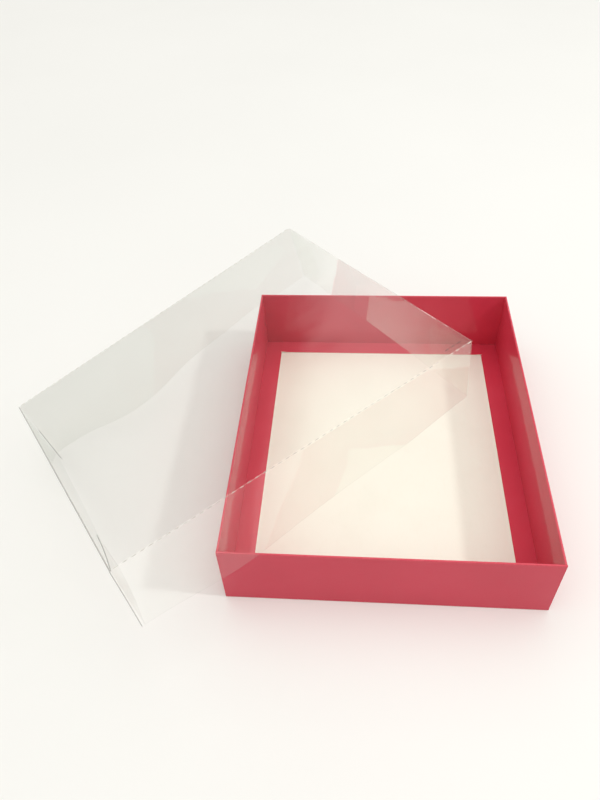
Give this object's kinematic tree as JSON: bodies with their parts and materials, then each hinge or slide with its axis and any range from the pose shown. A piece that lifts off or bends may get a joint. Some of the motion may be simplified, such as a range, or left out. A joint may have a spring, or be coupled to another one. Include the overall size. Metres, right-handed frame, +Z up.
{
  "type": "lidded presentation box",
  "caption": "Shallow folded card tray with double walls and a clear plastic folded lid lying askew across it; the lid lifts off and its walls, tabs and the floor flaps fold.",
  "frame": {"origin": "middle of the tray's underside, on the surface that it stands on", "axes": "+X towards the tray's right side, +Y along the tray's length towards its back, +Z up"},
  "size_m": [0.3454, 0.3088, 0.1088],
  "materials": {
    "red_card": "glossy coated",
    "cream_card": "matte uncoated",
    "clear_plastic": "clear, glossy"
  },
  "bodies": {
    "tray": {"tray_floor": "cream_card", "outer_wall_front": "red_card", "rim_fold_front": "red_card", "inner_wall_front": "red_card", "outer_wall_back": "red_card", "rim_fold_back": "red_card", "inner_wall_back": "red_card", "outer_wall_left": "red_card", "rim_fold_left": "red_card", "inner_wall_left": "red_card", "outer_wall_right": "red_card", "rim_fold_right": "red_card", "inner_wall_right": "red_card", "corner_tab_front_left": "red_card", "corner_tab_front_right": "red_card", "corner_tab_back_left": "red_card", "corner_tab_back_right": "red_card"},
    "front_flap": {"floor_flap_front": "red_card"},
    "back_flap": {"floor_flap_back": "red_card"},
    "left_flap": {"floor_flap_left": "red_card"},
    "right_flap": {"floor_flap_right": "red_card"},
    "lid": {"lid_top": "clear_plastic"},
    "lid_front_wall": {"lid_wall_front": "clear_plastic"},
    "lid_back_wall": {"lid_wall_back": "clear_plastic"},
    "lid_left_wall": {"lid_wall_left": "clear_plastic"},
    "lid_right_wall": {"lid_wall_right": "clear_plastic"},
    "lid_front_left_tab": {"lid_tab_front_left": "clear_plastic"},
    "lid_front_right_tab": {"lid_tab_front_right": "clear_plastic"},
    "lid_back_left_tab": {"lid_tab_back_left": "clear_plastic"},
    "lid_back_right_tab": {"lid_tab_back_right": "clear_plastic"}
  },
  "joints": [
    {"name": "front_flap_fold", "type": "hinge", "parent": "tray", "child": "front_flap", "pos_m": [0, -0.116, 0.0008], "axis": [1, 0, 0], "range_deg": [0, 85]},
    {"name": "back_flap_fold", "type": "hinge", "parent": "tray", "child": "back_flap", "pos_m": [0, 0.116, 0.0008], "axis": [-1, 0, 0], "range_deg": [0, 85]},
    {"name": "left_flap_fold", "type": "hinge", "parent": "tray", "child": "left_flap", "pos_m": [-0.0935, 0, 0.0008], "axis": [0, -1, 0], "range_deg": [0, 85]},
    {"name": "right_flap_fold", "type": "hinge", "parent": "tray", "child": "right_flap", "pos_m": [0.0935, 0, 0.0008], "axis": [0, 1, 0], "range_deg": [0, 85]},
    {"name": "lid_lift", "type": "slide", "parent": "tray", "child": "lid", "axis": [0, 0, 1], "range_m": [0, 0.12]},
    {"name": "lid_front_wall_fold", "type": "hinge", "parent": "lid", "child": "lid_front_wall", "pos_m": [-0.04314, -0.07994, 0.09976], "axis": [-0.7719, -0.6311, -0.0768], "range_deg": [0, 90], "stiffness_Nm_per_rad": 0.02},
    {"name": "lid_back_wall_fold", "type": "hinge", "parent": "lid", "child": "lid_back_wall", "pos_m": [-0.16166, 0.06876, 0.06914], "axis": [0.7461, 0.6356, 0.1983], "range_deg": [0, 90], "stiffness_Nm_per_rad": 0.02},
    {"name": "lid_left_wall_fold", "type": "hinge", "parent": "lid", "child": "lid_left_wall", "pos_m": [-0.19275, -0.08097, 0.06807], "axis": [-0.5977, 0.767, -0.2334], "range_deg": [0, 90], "stiffness_Nm_per_rad": 0.02},
    {"name": "lid_right_wall_fold", "type": "hinge", "parent": "lid", "child": "lid_right_wall", "pos_m": [-0.01205, 0.06979, 0.10082], "axis": [0.6294, -0.7725, 0.0836], "range_deg": [0, 90], "stiffness_Nm_per_rad": 0.02},
    {"name": "lid_front_left_tab_fold", "type": "hinge", "parent": "lid_front_wall", "child": "lid_front_left_tab", "pos_m": [-0.13014, -0.15724, 0.06746], "axis": [0.2064, -0.1337, -0.9693], "range_deg": [-5, 80], "stiffness_Nm_per_rad": 0.003},
    {"name": "lid_front_right_tab_fold", "type": "hinge", "parent": "lid_front_wall", "child": "lid_front_right_tab", "pos_m": [0.05045, -0.00496, 0.08519], "axis": [-0.1127, 0.0162, 0.9935], "range_deg": [-5, 80], "stiffness_Nm_per_rad": 0.003},
    {"name": "lid_back_left_tab_fold", "type": "hinge", "parent": "lid_back_wall", "child": "lid_back_left_tab", "pos_m": [-0.24242, -0.00845, 0.02322], "axis": [-0.2999, 0.0557, 0.9524], "range_deg": [-5, 80], "stiffness_Nm_per_rad": 0.003},
    {"name": "lid_back_right_tab_fold", "type": "hinge", "parent": "lid_back_wall", "child": "lid_back_right_tab", "pos_m": [-0.06789, 0.14488, 0.0695], "axis": [0.2062, 0.0618, -0.9765], "range_deg": [-5, 80], "stiffness_Nm_per_rad": 0.003}
  ]
}
